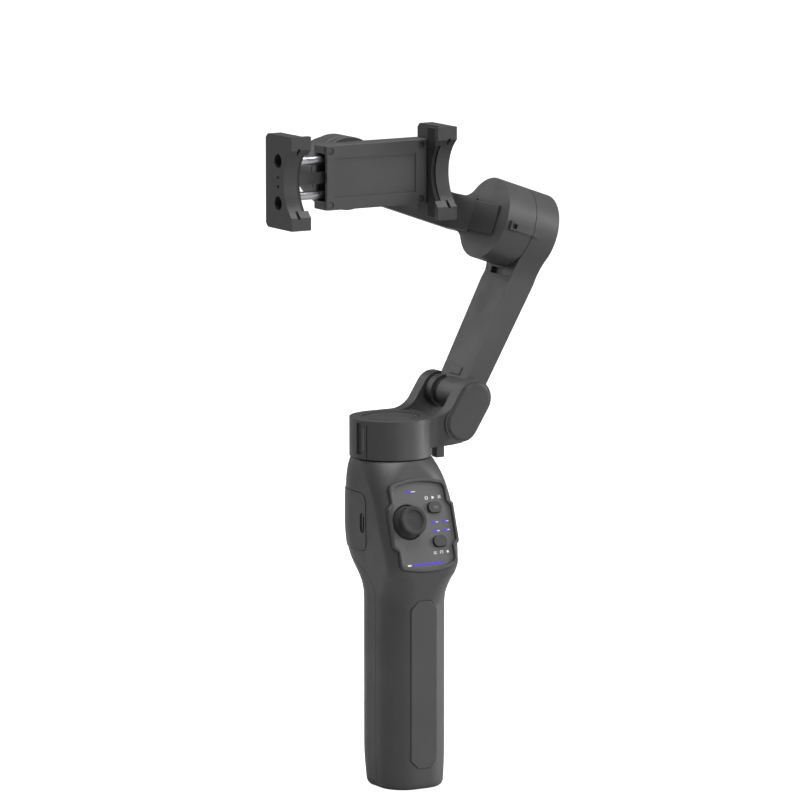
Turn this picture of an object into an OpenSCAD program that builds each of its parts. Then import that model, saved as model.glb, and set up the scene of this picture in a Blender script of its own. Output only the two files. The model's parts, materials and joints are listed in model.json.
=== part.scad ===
// Folding three-axis handheld camera gimbal for a phone.
// Origin: mouth of the tripod socket, centre of the handle's bottom face. +Z up, -Y towards the user.

/* [Handle] */
// Width of the grip
grip_w = 33.5; // [32:0.5:36]
// Depth of the grip, front to back
grip_d = 36; // [35:0.5:38]
// Height of the head's top face, where the pan motor sits
head_top = 152.6; // [152:0.1:153]
// Wall thickness of the moulded shells
wall = 2.2; // [1.8:0.1:2.6]

/* [Control panel] */
// Backward lean of the panel, degrees from vertical
panel_lean = 17.8; // [16:0.1:19]
// Height of the panel
panel_h = 43.5; // [42:0.5:44]
// Width of the panel across its ears
panel_w = 35; // [34:0.5:36]
// Radius of the joystick cap
stick_r = 6.8; // [6.4:0.1:7]

/* [Arms] */
// Radius of the pan motor housing
pan_r = 19.2; // [18.6:0.1:19.6]
// Slope of the tilt motor's axis from horizontal, degrees
arm_lean = 19.6; // [19:0.1:20]
// Distance from the fold hinge to the tilt motor's axis
arm_len = 82.4; // [82:0.1:83]
// Depth of the upper arm, front to back
arm_d = 23.4; // [22:0.2:24]
// Radius of the tilt motor
tilt_r = 19.3; // [19:0.1:19.6]

/* [Phone clamp] */
// Gap between the jaw pads at rest
phone_w = 70; // [69:0.2:72]
// Height of each jaw
jaw_h = 43; // [41:0.5:45]
// Depth of each jaw, front to back
jaw_d = 23.7; // [23:0.1:24]

/* [Hidden] */
$fn = 64;
eps = 0.01;
run_gap = 0.3; // between bodies that move past each other
fit_gap = 0.05; // radial clearance of a shaft in its bore
cut = 60; // larger than any feature that it cuts

// pan axis, fold hinge and motors
pan_y = 12;
pan_z = 153;
pan_h = 18;
pan_top = pan_z + pan_h;
hinge_x = 33.7;
hinge_z = 178.8;
arm_y = pan_y;
ear_r = 8.9;
ear_foot = [26.9, 168.1]; // centre of the ear's lower round end
near_y = [-7.4, -0.6]; // front ear, outer and inner face
far_y = [24.6, 31.2]; // back ear, inner and outer face
pin_r = 3;
barrel_r = 8;
bar_lean = 27; // lean of the arm's bar from vertical
bar_in = 3.3; // from the bar's middle, where the hinge is, to its two faces
bar_out = 7.1;
hinge_off = 6.6; // hinge to the origin of the motor's frame, along the motor's axis
arm_out = 11.3;
seam = -1.7; // joint line between the tilt motor's bell and the arm
bell_face = -17.6;
neck_face = bell_face - 0.6;
neck_w = 16.8;
leg_y = [30, 37]; // bracket leg behind the phone, from the tilt axis
roll_m = 86.6; // tilt bracket's reach to the roll axis
roll_r = 17;
leg_end_r = 15;
roll_x = hinge_x + arm_len * sin(arm_lean) - (roll_m - hinge_off) * cos(arm_lean);
roll_z = hinge_z + arm_len * cos(arm_lean) + (roll_m - hinge_off) * sin(arm_lean);

// clamp
jaw_front = 2.5;
jaw_back = jaw_front + jaw_d;
phone_back = 14.3;
jaw_t = 9;
lip_over = 1.2; // how far the fingers reach over the phone's face
finger_t = 2.8;
jaw_right = roll_x + phone_w / 2;
jaw_left = roll_x - phone_w / 2;
rod_r = 2;
rod_z = 8;

// panel frame: origin on the face, u to the right, v up the slope
panel_y = -16.7;
panel_z = 124;
panel_t = 1.2;
board_top = -8;
pad_face = -grip_d / 2 - 0.2;
pad_seat = pad_face + 1.5;
panel_mid = 9; // half height of the wide middle stretch
panel_narrow = 15.3; // half width above and below it
stick_pos = [-7.4, 2.1];
stick_hole_r = 8.3;
pivot_depth = 4;
dome_r = 8.5;
key_size = [7.4, 4.8];
mode_key_pos = [7.6, 7.6];
record_key_pos = [7.7, -8.2];
light_pos = [[-5, 15.9], [5.9, 0.9], [11.4, 0.9], [5.9, -3.2], [11.4, -3.2]];
bar_x = [-6.9, -2.8, 1.3, 5.4];
bar_v = -18.1;
port_y = 3.8;
port_z = 123.7;

shell_grey = [0.25, 0.25, 0.26];
part_grey = [0.29, 0.29, 0.3];
panel_grey = [0.38, 0.38, 0.38];
dark = [0.06, 0.06, 0.065];
steel = [0.7, 0.7, 0.72];
copper = [0.72, 0.42, 0.2];
brass = [0.8, 0.62, 0.3];
light_blue = [0.2, 0.15, 0.95];

// ---------- handle ----------

// height, half width, front, back, front corner radius, rear corner radius
function grip_half() = grip_w / 2;
function levels() = let (w = grip_half(), d = grip_d / 2) [
    [0, w - 2, 2 - d, d - 3.2, 11.4, 11.5],
    [0.8, w - 1.3, 1 - d, d - 2.5, 12, 12],
    [2.4, w - 0.7, 0.4 - d, d - 2, 12.6, 12.4],
    [20, w, -d, d, 13.2, 13.5],
    [56, w, -d, d, 13.2, 13.5],
    [86, w, -d, d, 13.2, 13.5],
    [90, w, -0.5 - d, d + 0.3, 13, 13.6],
    [94, w + 0.3, -1.7 - d, d + 1.4, 12.4, 14.1],
    [98, w + 0.8, -3.4 - d, d + 4.2, 11.4, 15.2],
    [101.5, w + 1.3, -4.8 - d, d + 7.8, 9.4, 16.4],
    [105, w + 1.9, -4.9 - d, d + 11.2, 8, 17.8],
    [109, w + 2.5, -3.6 - d, d + 13.7, 7.4, 19],
    [114, w + 3, -2 - d, d + 15.3, 7, 19.6],
    [123.4, w + 3.4, 1 - d, d + 16, 7, 20],
    [132, w + 3.4, 3.8 - d, d + 15.9, 7.4, 20],
    [141, w + 3.2, 6.7 - d, d + 15.4, 10, 19.8],
    [146, w + 2.8, 8.3 - d, d + 14.8, 13, 19.4],
    [150, w + 2.2, 9.9 - d, d + 13.7, 16, 18.8],
    [head_top, w + 1.6, 11.2 - d, d + 12.7, 18.3, 18.3]
];
function arc_points(cx, cy, r, from, steps = 10) =
    [for (i = [0:steps]) [cx + r * cos(from + 90 * i / steps), cy + r * sin(from + 90 * i / steps)]];
function section(w, front, back, rf, rr) = concat(
    arc_points(w - rr, back - rr, rr, 0),
    arc_points(rr - w, back - rr, rr, 90),
    arc_points(rf - w, front + rf, rf, 180),
    arc_points(w - rf, front + rf, rf, 270));
function level_section(l, inset) = section(l[1] - inset, l[2] + inset, l[3] - inset,
    min(max(l[4] - inset, 2), l[1] - inset), min(max(l[5] - inset, 2), l[1] - inset));

// solid handle outline, drawn in by inset all round and between two heights
module handle_form(inset = 0, low = 0, high = head_top) {
    rows = [for (l = levels()) if (l[0] >= low && l[0] <= high) l];
    sections = [for (l = rows) [for (p = level_section(l, inset)) [p[0], p[1], l[0]]]];
    n = len(sections[0]);
    points = [for (s = sections) for (p = s) p];
    top = n * (len(rows) - 1);
    sides = [for (k = [0:len(rows) - 2]) for (i = [0:n - 1]) let (j = (i + 1) % n)
        [k * n + i, (k + 1) * n + i, (k + 1) * n + j, k * n + j]];
    polyhedron(points, concat(sides, [[for (i = [0:n - 1]) i]], [[for (i = [n - 1:-1:0]) top + i]]));
}

// side view of the rear grip shell, whose upper edge is a quarter ellipse, extruded across the handle
module rear_shell_zone(gap = 0) {
    end = 40;
    y = gap - 2.6;
    rise = 22 - gap;
    rotate([90, 0, 90]) linear_extrude(cut, center = true) polygon(concat(
        [[y, 2.4 + gap], [end, 2.4 + gap]],
        [for (t = [90:-7.5:0]) [end - (end - y) * cos(t), 88 + rise * sin(t)]]));
}

// rounded patch round the back of the head
module rear_cover_zone(gap = 0) {
    r = 5;
    y0 = 0.6 + gap;
    z0 = 110.4 + gap;
    z1 = 137.8 - gap;
    rotate([90, 0, 90]) linear_extrude(cut, center = true) {
        hull() {
            translate([y0 + r, z0 + r]) circle(r - gap);
            translate([y0 + r, z1 - r]) circle(r - gap);
            translate([cut, z0 + gap]) square([1, z1 - z0 - 2 * gap]);
        }
    }
}

module at_panel() {
    translate([0, panel_y, panel_z]) rotate([90 - panel_lean, 0, 0]) children();
}

function panel_outline(inset = 0) = let (
    top = panel_h / 2 - inset,
    w = panel_w / 2 - inset,
    n = panel_narrow - inset,
    m = panel_mid - inset * 0.6,
    step = 2.2,
    bow = 2,
    arc = [for (t = [-1:0.125:1]) [t * (n - 1), top - bow * t * t]])
    concat(
        [for (p = arc) [-p[0], p[1]]],
        [[-n, top - bow - 2], [-n, m + step], [-w, m], [-w, -m], [-n, -m - step], [-n, bow + 2 - top]],
        [for (p = arc) [p[0], -p[1]]],
        [[n, bow + 2 - top], [n, -m - step], [w, -m], [w, m], [n, m + step], [n, top - bow - 2]]);

module key_shape(grow = 0) {
    hull() for (s = [-1, 1]) {
        translate([s * (key_size[0] - key_size[1]) / 2, 0]) circle(key_size[1] / 2 + grow, $fn = 32);
    }
}

// everything that passes through the panel
module panel_holes() {
    translate(stick_pos) circle(stick_hole_r);
    translate(mode_key_pos) key_shape(run_gap);
    translate(record_key_pos) key_shape(run_gap);
    for (p = light_pos) translate(p) circle(0.75, $fn = 24);
    for (x = bar_x) translate([x, bar_v]) square([2.7, 0.9], center = true);
}

// four screws along Y hold the grip shells together, at two heights
screw_x = 9.5;
screw_z = [9, 89];
screw_seat = 12.5; // where the heads bear
shell_joint = 6; // where the bosses of the two shells meet

module at_screws(y) {
    for (z = screw_z) for (s = [-1, 1]) translate([s * screw_x, y, z]) rotate([90, 0, 0]) children();
}

module port_hole() {
    translate([-23, port_y, port_z]) rotate([0, 90, 0]) linear_extrude(9) port_slot(0.25);
}

module front_shell() {
    color(shell_grey) difference() {
        union() {
            difference() {
                handle_form();
                handle_form(wall, 2.4, 150);
                rear_shell_zone();
                difference() {
                    rear_cover_zone();
                    handle_form(1.4, 100);
                }
            }
            cylinder(h = 8.4, r = 8);
            intersection() {
                handle_form(1);
                at_screws(shell_joint - 0.1) cylinder(h = 30, r = 2.6);
            }
        }
        at_screws(shell_joint) cylinder(h = 12, r = 1);
        at_panel() translate([0, 0, -5]) linear_extrude(cut / 2) polygon(panel_outline(2.6));
        at_panel() translate([0, 0, -1.5]) linear_extrude(cut / 2) polygon(panel_outline(-0.1));
        at_panel() translate([stick_pos[0], stick_pos[1], -cut / 4]) cylinder(h = cut / 2, r = dome_r + 0.4);
        grip_pad_block(pad_face - 1, pad_seat, 0.1);
        translate([0, 0, -1]) cylinder(h = 12, r = 5.05);
        translate([0, 0, 4.65]) cylinder(h = 2.1, r = 6.45);
        translate([0, pan_y, head_top - 3]) cylinder(h = 4, r = 8.2);
        port_hole();
    }
}

module rear_grip_shell() {
    color(shell_grey) difference() {
        union() {
            difference() {
                intersection() {
                    handle_form();
                    rear_shell_zone(0.15);
                }
                handle_form(wall, 2.4, 150);
            }
            intersection() {
                handle_form(1);
                at_screws(30) cylinder(h = 30 - shell_joint - 0.1, r = 2.8);
            }
        }
        at_screws(30) cylinder(h = 30, r = 1.2);
        at_screws(30) cylinder(h = 30 - screw_seat, r = 2.2);
    }
}

module rear_cover() {
    color(part_grey) difference() {
        intersection() {
            handle_form(-0.25, 100);
            rear_cover_zone(0.2);
        }
        handle_form(1.3, 100);
        port_hole();
    }
}

module panel_bezel() {
    color(part_grey) at_panel() translate([0, 0, -1.5]) difference() {
        linear_extrude(2.8) polygon(panel_outline(0));
        translate([0, 0, -1]) linear_extrude(5) polygon(panel_outline(1.5));
    }
}

module control_panel() {
    color(panel_grey) at_panel() {
        translate([0, 0, -panel_t]) linear_extrude(panel_t) difference() {
            polygon(panel_outline(1.55));
            panel_holes();
        }
        // posts that carry the circuit board
        for (s = [-1, 1]) translate([s * 10, 13, board_top]) {
            cylinder(h = -board_top - panel_t + eps, r = 1.8);
            translate([0, 0, -2.6]) cylinder(h = 2.6 + eps, r = 1);
        }
    }
}

// front inset of the grip, with cut corners, between two depths
module grip_pad_block(front, back, grow) {
    w = 6.95 + grow;
    low = 10 - grow;
    high = 89 + grow;
    c = 4;
    translate([0, back, 0]) rotate([90, 0, 0]) linear_extrude(back - front) polygon([
        [c - w, low], [w - c, low], [w, low + c], [w, high - c],
        [w - c, high], [c - w, high], [-w, high - c], [-w, low + c]]);
}

module grip_pad() {
    color(part_grey) grip_pad_block(pad_face, pad_seat - 0.02, 0);
}

module tripod_insert() {
    color(brass) difference() {
        union() {
            cylinder(h = 9, r = 5);
            translate([0, 0, 4.7]) cylinder(h = 2, r = 6.4);
        }
        translate([0, 0, -eps]) cylinder(h = 8, r = 2.6);
    }
}

module status_lights() {
    color(light_blue) at_panel() translate([0, 0, -1.1]) {
        for (p = light_pos) translate(p) cylinder(h = 1.2, r = 0.7, $fn = 24);
        for (x = bar_x) translate([x, bar_v, 0.6]) cube([2.6, 0.8, 1.2], center = true);
    }
}

module key(position) {
    color(part_grey) at_panel() translate(position) {
        translate([0, 0, -1.6]) linear_extrude(2.9) key_shape();
        translate([0, 0, -2.4]) linear_extrude(0.8) key_shape(0.8);
    }
}

module mode_key() {
    key(mode_key_pos);
}

module record_key() {
    key(record_key_pos);
}

module at_stick() {
    at_panel() translate([stick_pos[0], stick_pos[1], -pivot_depth]) children();
}

// frame on the circuit board whose two posts hold the yoke's pins
module joystick_base() {
    color(dark) at_stick() difference() {
        union() {
            translate([-8, -8, board_top + pivot_depth]) cube([16, 16, 1.2]);
            for (s = [-1, 1]) translate([s * 6.4 - 0.5, -1.6, board_top + pivot_depth]) cube([1, 3.2, 5.1]);
        }
        rotate([0, 90, 0]) cylinder(h = 16, r = 0.8 + fit_gap, center = true);
    }
}

module joystick_yoke() {
    color(steel) at_stick() difference() {
        union() {
            cylinder(h = 2.2, r = 5.7, center = true);
            rotate([0, 90, 0]) cylinder(h = 14, r = 0.8, center = true);
        }
        cylinder(h = 3, r = 4, center = true);
        rotate([90, 0, 0]) cylinder(h = 16, r = 0.8 + fit_gap, center = true);
    }
}

module joystick_cap() {
    color(dark) at_stick() {
        rotate([90, 0, 0]) cylinder(h = 10.8, r = 0.8, center = true);
        cylinder(h = 8, r = 2);
        rotate_extrude() difference() {
            intersection() {
                circle(dome_r);
                translate([0, 0.6]) square([dome_r, 6.6]);
            }
            circle(dome_r - 1.2);
        }
        translate([0, 0, 7.1]) rotate_extrude() polygon([[0, 0], [stick_r - 0.8, 0], [stick_r, 0.8],
            [stick_r, 2.2], [stick_r - 0.6, 2.8], [stick_r - 1.8, 2.8], [stick_r - 2.4, 2.2], [0, 1.9]]);
    }
}

// outline of the charging socket, long side upright
module port_slot(grow = 0) {
    hull() for (s = [-1, 1]) translate([s * 2.85, 0]) circle(1.65 + grow, $fn = 32);
}

module usb_socket() {
    color(steel) translate([-19.4, port_y, port_z]) rotate([0, 90, 0]) difference() {
        linear_extrude(7.4) port_slot();
        translate([0, 0, -eps]) linear_extrude(6.2) port_slot(-0.35);
    }
}

module battery() {
    color([0.1, 0.3, 0.45]) translate([0, 1, 16]) {
        cylinder(h = 65, r = 9.1);
        translate([0, 0, 65 - eps]) cylinder(h = 1.2, r = 3);
    }
}

module battery_cradle() {
    color(dark) difference() {
        union() {
            translate([0, 1, 12]) cylinder(h = 72, r = 11);
            for (z = [20, 48, 76]) translate([-grip_half() + wall, -1, z]) cube([grip_w - 2 * wall, 3, 3]);
        }
        translate([0, 1, 15.8]) cylinder(h = 66.8, r = 9.3);
        translate([-cut / 2, -cut - 2, 0]) cube([cut, cut, 100]);
    }
}

module main_board() {
    at_panel() translate([0, 0.5, board_top - 1.6]) {
        color([0.05, 0.3, 0.15]) difference() {
            translate([-14.5, -16.5, 0]) cube([29, 33, 1.6]);
            for (s = [-1, 1]) translate([s * 10, 12.5, -1]) cylinder(h = 4, r = 1.05);
        }
        color(dark) {
            translate([3.2, -6, 1.6]) cube([8, 8, 1]);
            translate([1.6, -14, 1.6]) cube([5, 4, 1.2]);
        }
    }
}

module shell_screws() {
    color(steel) {
        at_screws(screw_seat) cylinder(h = 13.4, r = 0.98);
        at_screws(screw_seat + 1.4) cylinder(h = 1.4, r = 1.9);
    }
}

// ---------- pan motor and yaw arm ----------

module pan_stator() {
    color(copper) translate([0, pan_y, pan_z]) {
        difference() {
            translate([0, 0, 1]) cylinder(h = 9, r = 11);
            translate([0, 0, 0]) cylinder(h = 12, r = 6.1);
        }
    }
    color(steel) translate([0, pan_y, 0]) difference() {
        union() {
            translate([0, 0, head_top - 5]) cylinder(h = 14.4, r = 8.1);
            translate([0, 0, head_top - 4.6]) cylinder(h = 2, r = 11);
        }
        translate([0, 0, head_top - 6]) cylinder(h = 16, r = 6);
    }
}

module pan_bearings() {
    color(steel) for (z = [head_top - 4.6, pan_z + 4.6]) {
        translate([0, pan_y, z]) difference() {
            cylinder(h = 4, r = 5.95);
            translate([0, 0, -1]) cylinder(h = 6, r = 3 + fit_gap);
        }
    }
}

module pan_shaft() {
    color(steel) translate([0, pan_y, head_top - 6]) cylinder(h = pan_top - 2.6 - head_top + 6, r = 3);
}

module pan_rotor() {
    color(steel) translate([0, pan_y, pan_z + 1.4]) difference() {
        cylinder(h = pan_h - 4.4, r = 14.8);
        translate([0, 0, -1]) cylinder(h = 20, r = 11.6);
    }
}

// plan view of the pan housing and its waist towards the hinge
module yaw_plan() {
    translate([0, pan_y]) circle(pan_r);
    difference() {
        polygon([[0, pan_y + pan_r], [ear_foot[0], pan_y + pan_r], [ear_foot[0], near_y[0]], [21, near_y[0]],
            [15.76, -4.96], [8.74, -5.1], [0, pan_y]]);
        translate([12.38, -12.22]) circle(8);
    }
}

// side view of an ear
module ear_side(grow = 0) {
    hull() {
        translate([hinge_x, hinge_z]) circle(ear_r + grow);
        translate(ear_foot) circle(ear_r + grow);
    }
}

// an ear and the web that sweeps up to it from the top of the housing
module ear(y) {
    sweep = 12;
    translate([0, y[1], 0]) rotate([90, 0, 0]) linear_extrude(y[1] - y[0]) ear_side();
    intersection() {
        translate([0, y[1], 0]) rotate([90, 0, 0]) linear_extrude(y[1] - y[0]) difference() {
            polygon([[11.6, pan_top - 1], [14.5, 158.9], [ear_foot[0], 158.9], [30.5, 178], [21.8, 176.7],
                [11.6, pan_top]]);
            translate([11.6, pan_top + sweep]) circle(sweep);
        }
        translate([0, 0, pan_z]) linear_extrude(cut) yaw_plan();
    }
}

module yaw_arm() {
    color(shell_grey) difference() {
        union() {
            intersection() {
                translate([0, 0, pan_z]) linear_extrude(pan_h) yaw_plan();
                // the waist's underside rises towards the ears
                rotate([90, 0, 0]) linear_extrude(3 * cut, center = true) polygon([[-pan_r, 157.4], [14, 157.4],
                    [ear_foot[0], 158.9], [ear_foot[0], pan_top], [-pan_r, pan_top]]);
            }
            translate([0, pan_y, pan_z]) cylinder(h = pan_h - 1, r = pan_r);
            ear(near_y);
            ear(far_y);
        }
        // motor bay and top plate seat
        translate([0, pan_y, pan_z - 1]) cylinder(h = pan_h - 2, r = 14.8);
        translate([0, pan_y, pan_top - 1.2]) cylinder(h = 2, r = 13.5);
        translate([0, pan_y, pan_top - 4]) cylinder(h = 3, r = 3);
        // pocket that the arm's barrel turns in
        translate([19.6, near_y[1], pan_top - 2.4]) cube([cut, far_y[0] - near_y[1], cut]);
        translate([hinge_x, near_y[1], hinge_z]) rotate([-90, 0, 0])
            cylinder(h = far_y[0] - near_y[1], r = barrel_r + 1.4);
        translate([hinge_x - 4.5, near_y[1], 150]) cube([cut, far_y[0] - near_y[1], cut]);
        // hinge pin bores and cap seats
        translate([hinge_x, -20, hinge_z]) rotate([-90, 0, 0]) cylinder(h = cut, r = pin_r);
        for (y = [near_y[0] - 1, far_y[1] - 1]) {
            translate([0, y + 2, 0]) rotate([90, 0, 0]) linear_extrude(2) ear_side(-0.9);
        }
        // cable slot down the side of the motor housing
        translate([0, pan_y, pan_z + 2]) rotate([0, 0, 189]) translate([pan_r - 1, -1.6, 0])
            cube([3, 3.2, pan_h - 3.4]);
        translate([0, pan_y, pan_z - 1]) rotate([0, 0, 204]) translate([pan_r - 0.5, -0.25, 0])
            cube([3, 0.5, pan_h - 1]);
    }
}

module yaw_top_plate() {
    color(part_grey) translate([0, pan_y, pan_top - 1.15]) rotate_extrude() difference() {
        polygon([[0, 0], [13.4, 0], [13.4, 0.7], [13, 1.1], [0, 1.1]]);
        translate([11.4, 0.8]) square([0.7, 1]);
    }
}

module hinge_cap(y, face) {
    translate([0, y, 0]) rotate([90, 0, 0]) difference() {
        union() {
            linear_extrude(1.4) ear_side(-1);
            translate([0, 0, face > 0 ? 1.4 - eps : -0.6 + eps]) linear_extrude(0.6) ear_side(-1.7);
        }
        translate([hinge_x, hinge_z, face > 0 ? -1 : 0.8]) cylinder(h = 1.6, r = pin_r + 0.1);
    }
}

module near_hinge_cap() {
    color(part_grey) hinge_cap(near_y[0] + 1, 1);
}

module far_hinge_cap() {
    color(part_grey) hinge_cap(far_y[1] + 0.4, -1);
}

module fold_pin() {
    color(steel) translate([hinge_x, near_y[0] + 1.05, hinge_z]) rotate([-90, 0, 0])
        cylinder(h = far_y[1] - near_y[0] - 2.1, r = pin_r);
}

module pan_stop() {
    color(part_grey) translate([22.3, 7.8, pan_z - 3]) cube([4.4, 4.4, 8.3]);
}

// ---------- fold arm ----------

// x runs outwards along the tilt motor's axis, z along the arm
module at_arm() {
    translate([hinge_x, arm_y, hinge_z]) rotate([0, arm_lean, 0]) translate([hinge_off, 0, 0]) children();
}

// front view of the arm: bar, motor disc and the two fillets between them
module arm_outline() {
    bar = arm_d / 2;
    f = 24;
    fz = arm_len - sqrt(pow(tilt_r + f, 2) - pow(bar + f, 2));
    translate([0, arm_len]) circle(tilt_r);
    translate([-bar, 0]) square([arm_d, arm_len]);
    for (s = [-1, 1]) difference() {
        polygon([[0, fz], [s * (bar + f), fz], [0, arm_len]]);
        translate([s * (bar + f), fz]) circle(f);
    }
}

module along_arm_axis(from, to) {
    translate([from, 0, 0]) rotate([90, 0, 90]) linear_extrude(to - from) children();
}

module arm_disc(from, to, r) {
    translate([from, 0, arm_len]) rotate([0, 90, 0]) cylinder(h = to - from, r = r);
}

// side view of the arm: the bar leans more than the motor that it carries
module arm_profile() {
    bend = bar_lean - arm_lean;
    foot_in = -hinge_off - bar_in / cos(bend);
    foot_out = -hinge_off + bar_out / cos(bend);
    polygon([[foot_in, 0], [foot_in + 56 * tan(bend), 56], [seam, 60], [seam, 110], [arm_out, 110],
        [arm_out, 59], [foot_out, 0]]);
}

// frame of the bar: origin on the hinge, z along the bar
module at_bar() {
    translate([-hinge_off, 0, 0]) rotate([0, bar_lean - arm_lean, 0]) children();
}

module fold_arm() {
    groove = [1.6, 6.8];
    color(shell_grey) at_arm() difference() {
        union() {
            intersection() {
                along_arm_axis(-hinge_off - bar_in - 1, arm_out) arm_outline();
                rotate([90, 0, 0]) linear_extrude(cut, center = true) arm_profile();
            }
            translate([-hinge_off, 0, 0]) rotate([90, 0, 0]) difference() {
                translate([0, 0, -arm_d / 2]) cylinder(h = arm_d, r = barrel_r);
                translate([0, 0, -groove[1]]) difference() {
                    cylinder(h = groove[1] - groove[0], r = barrel_r + 1);
                    translate([0, 0, -1]) cylinder(h = cut, r = barrel_r - 1.6);
                }
            }
            // end of the storage lock's rib
            translate([seam, -tilt_r - 0.7, arm_len - 2.5]) cube([3.5, 2, 3.2]);
        }
        translate([-hinge_off, 0, 0]) rotate([90, 0, 0]) cylinder(h = cut, r = pin_r + fit_gap, center = true);
        // motor bay and the cover's seat
        arm_disc(seam - 1, 4, 16);
        arm_disc(7.4, 20, 17.4);
        // cable slot under the motor and bumper seat
        translate([seam - 1.6, -4, 59.5]) cube([3.4, 11, 3.1]);
        at_bar() translate([-bar_in - 2, -4.55, 8.45]) cube([3, 9.1, 4.1]);
    }
}

module arm_end_cover() {
    color(part_grey) at_arm() translate([7.5, 0, arm_len]) rotate([0, 90, 0]) rotate_extrude()
        polygon([[0, 0], [17.2, 0], [17.2, 3.8], [16.2, 4.8], [0, 5.2]]);
}

module arm_bumper() {
    color(dark) at_arm() at_bar() translate([-bar_in - 0.4, -4.5, 8.5]) cube([1.35, 9, 4]);
}

module tilt_stator() {
    color(copper) at_arm() difference() {
        union() {
            arm_disc(-13, 4, 6);
            arm_disc(-11.4, -3, 12);
        }
        arm_disc(-14, 5, 4.6);
    }
}

module tilt_bearing() {
    color(steel) at_arm() difference() {
        union() {
            arm_disc(-12.6, -9.6, 4.55);
            arm_disc(0.6, 3.6, 4.55);
        }
        arm_disc(-13, 4, 2.5 + fit_gap);
    }
}

// ---------- tilt bracket ----------

module tilt_shaft() {
    color(steel) at_arm() arm_disc(bell_face + 2.4, 3.4, 2.5);
}

neck_fillet = 10;
neck_t = 6; // thickness of the neck behind the disc
// where the fillets between the disc and its neck end
function neck_reach() = sqrt(pow(tilt_r + neck_fillet, 2) - pow(neck_w / 2 + neck_fillet, 2));

// disc with the neck that reaches back from it
module neck_outline() {
    f = neck_fillet;
    half = neck_w / 2;
    fy = neck_reach();
    translate([0, arm_len]) circle(tilt_r);
    for (s = [-1, 1]) difference() {
        polygon([[0, arm_len], [fy, arm_len + s * (half + f)], [fy, arm_len]]);
        translate([fy, arm_len + s * (half + f)]) circle(f);
    }
}

module tilt_bell() {
    color(shell_grey) at_arm() difference() {
        union() {
            arm_disc(bell_face, seam - run_gap, tilt_r);
            along_arm_axis(bell_face, bell_face + neck_t) neck_outline();
            // rib that carries on from the storage lock
            translate([bell_face + 6, -tilt_r - 0.8, arm_len - 2.4]) cube([seam - run_gap - bell_face - 6, 2, 3.2]);
        }
        arm_disc(bell_face + 2.4, 0, tilt_r - 2);
        // seat of the storage lock on the rim
        translate([bell_face + 1.9, -tilt_r - 1, arm_len - 3]) cube([4.8, 3, 4.4]);
    }
}

module tilt_rotor() {
    color(steel) at_arm() difference() {
        arm_disc(bell_face + 2.4, -3, tilt_r - 2.05);
        arm_disc(-18, -2, 12.8);
    }
}

module tilt_bracket() {
    half = neck_w / 2;
    color(shell_grey) at_arm() difference() {
        union() {
            // thin plate over the disc's face, and the neck behind the disc
            translate([neck_face, 10.6, arm_len - half])
                cube([bell_face - neck_face - 0.02, leg_y[1] - 10.6, neck_w]);
            translate([bell_face - 0.03, neck_reach() + 0.02, arm_len - half])
                cube([neck_t + 0.03, leg_y[1] - neck_reach() - 0.02, neck_w]);
            // leg behind the phone
            translate([-roll_m, leg_y[0], arm_len - half])
                cube([roll_m + bell_face + neck_t, leg_y[1] - leg_y[0], neck_w]);
            translate([-roll_m, leg_y[1], arm_len]) rotate([90, 0, 0])
                cylinder(h = leg_y[1] - leg_y[0], r = leg_end_r);
        }
        // long relief along the back of the leg
        translate([-roll_m + leg_end_r + 4, leg_y[1] - 1, arm_len - half + 4])
            cube([roll_m + bell_face - leg_end_r - 14, 2, neck_w - 8]);
        translate([-roll_m, cut, arm_len]) rotate([90, 0, 0]) cylinder(h = cut, r = 3.6);
    }
}

module cable_cover() {
    color(part_grey) at_arm() translate([neck_face - 0.35, -10.4, arm_len - 7])
        cube([bell_face - neck_face + 0.33, 20.8, 14]);
}

// small loop at the disc's rim that the folded arm clips to
module storage_lock() {
    color(part_grey) at_arm() difference() {
        translate([bell_face + 2, -tilt_r - 1.2, arm_len - 2.9]) cube([4.6, 3.1, 4.2]);
        translate([bell_face + 3.2, -tilt_r - 2, arm_len - 1.9]) cube([2.2, 2.4, 2.2]);
    }
}

// ---------- roll motor ----------

// z runs forwards from the leg to the phone, on the roll axis
module at_roll(y) {
    translate([roll_x, arm_y + y, roll_z]) rotate([90, 0, 0]) children();
}

module roll_stator() {
    color(shell_grey) at_roll(leg_y[0] - 0.02) difference() {
        cylinder(h = 10.6, r = roll_r);
        translate([0, 0, 1.6]) cylinder(h = 10, r = roll_r - 1.6);
        translate([0, 0, -1]) cylinder(h = 4, r = 5);
    }
    color(copper) at_roll(leg_y[0] - 1.2) difference() {
        cylinder(h = 8.4, r = 9.5);
        translate([0, 0, -1]) cylinder(h = 11, r = 5);
    }
}

module roll_motor_cap() {
    color(part_grey) at_roll(leg_y[1] + 1.6) rotate_extrude()
        polygon([[0, 0], [leg_end_r - 2, 0], [leg_end_r - 1.2, 0.8], [leg_end_r - 1.2, 1.5],
            [3.5, 1.5], [3.5, 4], [0, 4]]);
}

module roll_bearings() {
    color(steel) for (y = [28.4, 23.6]) at_roll(y) difference() {
        cylinder(h = 3, r = 4.95);
        translate([0, 0, -1]) cylinder(h = 5, r = 2.5 + fit_gap);
    }
}

module roll_shaft() {
    color(steel) at_roll(28.6) cylinder(h = 28.6 + arm_y - jaw_back, r = 2.5);
}

module roll_rotor() {
    color(shell_grey) at_roll(19.1) {
        difference() {
            cylinder(h = 19.1 + arm_y - jaw_back, r = roll_r);
            translate([0, 0, -1]) cylinder(h = 8, r = 2.5);
        }
    }
    color(steel) at_roll(28) difference() {
        cylinder(h = 8.91, r = 15);
        translate([0, 0, -1]) cylinder(h = 11, r = 10);
    }
}

// ---------- phone clamp ----------

body_left = roll_x - 18.6;
body_h = 30;

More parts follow.
